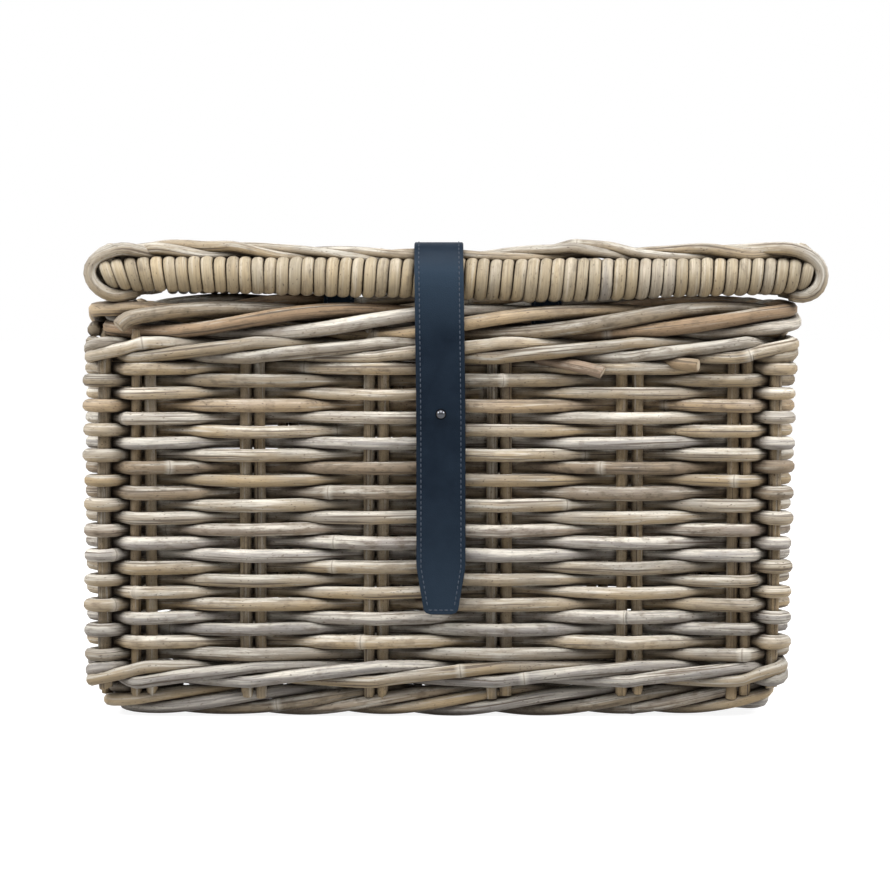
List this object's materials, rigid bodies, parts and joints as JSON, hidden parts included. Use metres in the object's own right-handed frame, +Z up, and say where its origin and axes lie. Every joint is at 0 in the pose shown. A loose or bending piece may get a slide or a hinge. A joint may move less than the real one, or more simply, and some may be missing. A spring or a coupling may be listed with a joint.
{
  "type": "bicycle basket",
  "caption": "Lidded rectangular basket woven of round rattan, with a wrapped front bar and a leather closing strap over a ball stud.",
  "frame": {"origin": "middle of the footprint of the whole basket with its lid, on the surface it stands on", "axes": "+X to the basket's right as seen from the front, +Y to the back where the lid is hinged, +Z up"},
  "size_m": [0.469, 0.3492, 0.3038],
  "materials": {
    "rattan": "natural round rattan, matt",
    "dark_rattan": "darker grey brown rattan, matt",
    "rattan_peel": "flat rattan peel, satin",
    "navy_leather": "smooth navy leather, satin",
    "steel": "polished chrome"
  },
  "bodies": {
    "basket": {"foot_border": "dark_rattan", "rim_border": "rattan", "wall_weaver_a": "rattan", "wall_weaver_b": "dark_rattan", "bottom_wale_rod_1": "rattan", "bottom_wale_rod_2": "dark_rattan", "bottom_wale_rod_3": "rattan", "top_wale_rod_1": "rattan", "top_wale_rod_2": "dark_rattan", "top_wale_rod_3": "rattan", "corner_post_front_left": "rattan", "corner_post_front_right": "rattan", "corner_post_back_right": "rattan", "corner_post_back_left": "rattan", "front_stake_pair_1": "rattan", "front_stake_pair_2": "rattan", "front_stake_pair_3": "rattan", "front_stake_pair_4": "rattan", "front_stake_pair_5": "rattan", "front_stake_pair_6": "rattan", "right_stake_pair_1": "rattan", "right_stake_pair_2": "rattan", "right_stake_pair_3": "rattan", "right_stake_pair_4": "rattan", "back_stake_pair_1": "rattan", "back_stake_pair_2": "rattan", "back_stake_pair_3": "rattan", "back_stake_pair_4": "rattan", "back_stake_pair_5": "rattan", "back_stake_pair_6": "rattan", "left_stake_pair_1": "rattan", "left_stake_pair_2": "rattan", "left_stake_pair_3": "rattan", "left_stake_pair_4": "rattan", "base_weave": "dark_rattan", "base_stick_1": "rattan", "base_stick_2": "rattan", "base_stick_3": "rattan", "closing_stud": "steel", "stud_backing": "navy_leather", "stud_nut": "steel", "hinge_strap_left": "navy_leather", "hinge_strap_right": "navy_leather"},
    "lid": {"lid_front_bar": "rattan", "lid_front_wrap": "rattan_peel", "lid_back_rod": "rattan", "lid_left_bar": "rattan", "lid_left_loops": "rattan", "lid_right_bar": "rattan", "lid_right_loops": "rattan", "lid_weave": "rattan", "lid_stake_pair_1": "rattan", "lid_stake_pair_2": "rattan", "lid_stake_pair_3": "rattan", "lid_stake_pair_4": "rattan", "lid_front_border": "dark_rattan", "strap_anchor": "navy_leather", "strap_rivet_1": "steel", "strap_rivet_2": "steel"},
    "strap": {"strap_tail": "navy_leather"}
  },
  "joints": [
    {"name": "lid_hinge", "type": "hinge", "parent": "basket", "child": "lid", "pos_m": [0, 0.16008, 0.27964], "axis": [-1, 0, 0], "range_deg": [0, 120]},
    {"name": "strap_lift", "type": "hinge", "parent": "lid", "child": "strap", "pos_m": [-0.00868, -0.16732, 0.27964], "axis": [-1, 0, 0], "range_deg": [0, 150]}
  ]
}
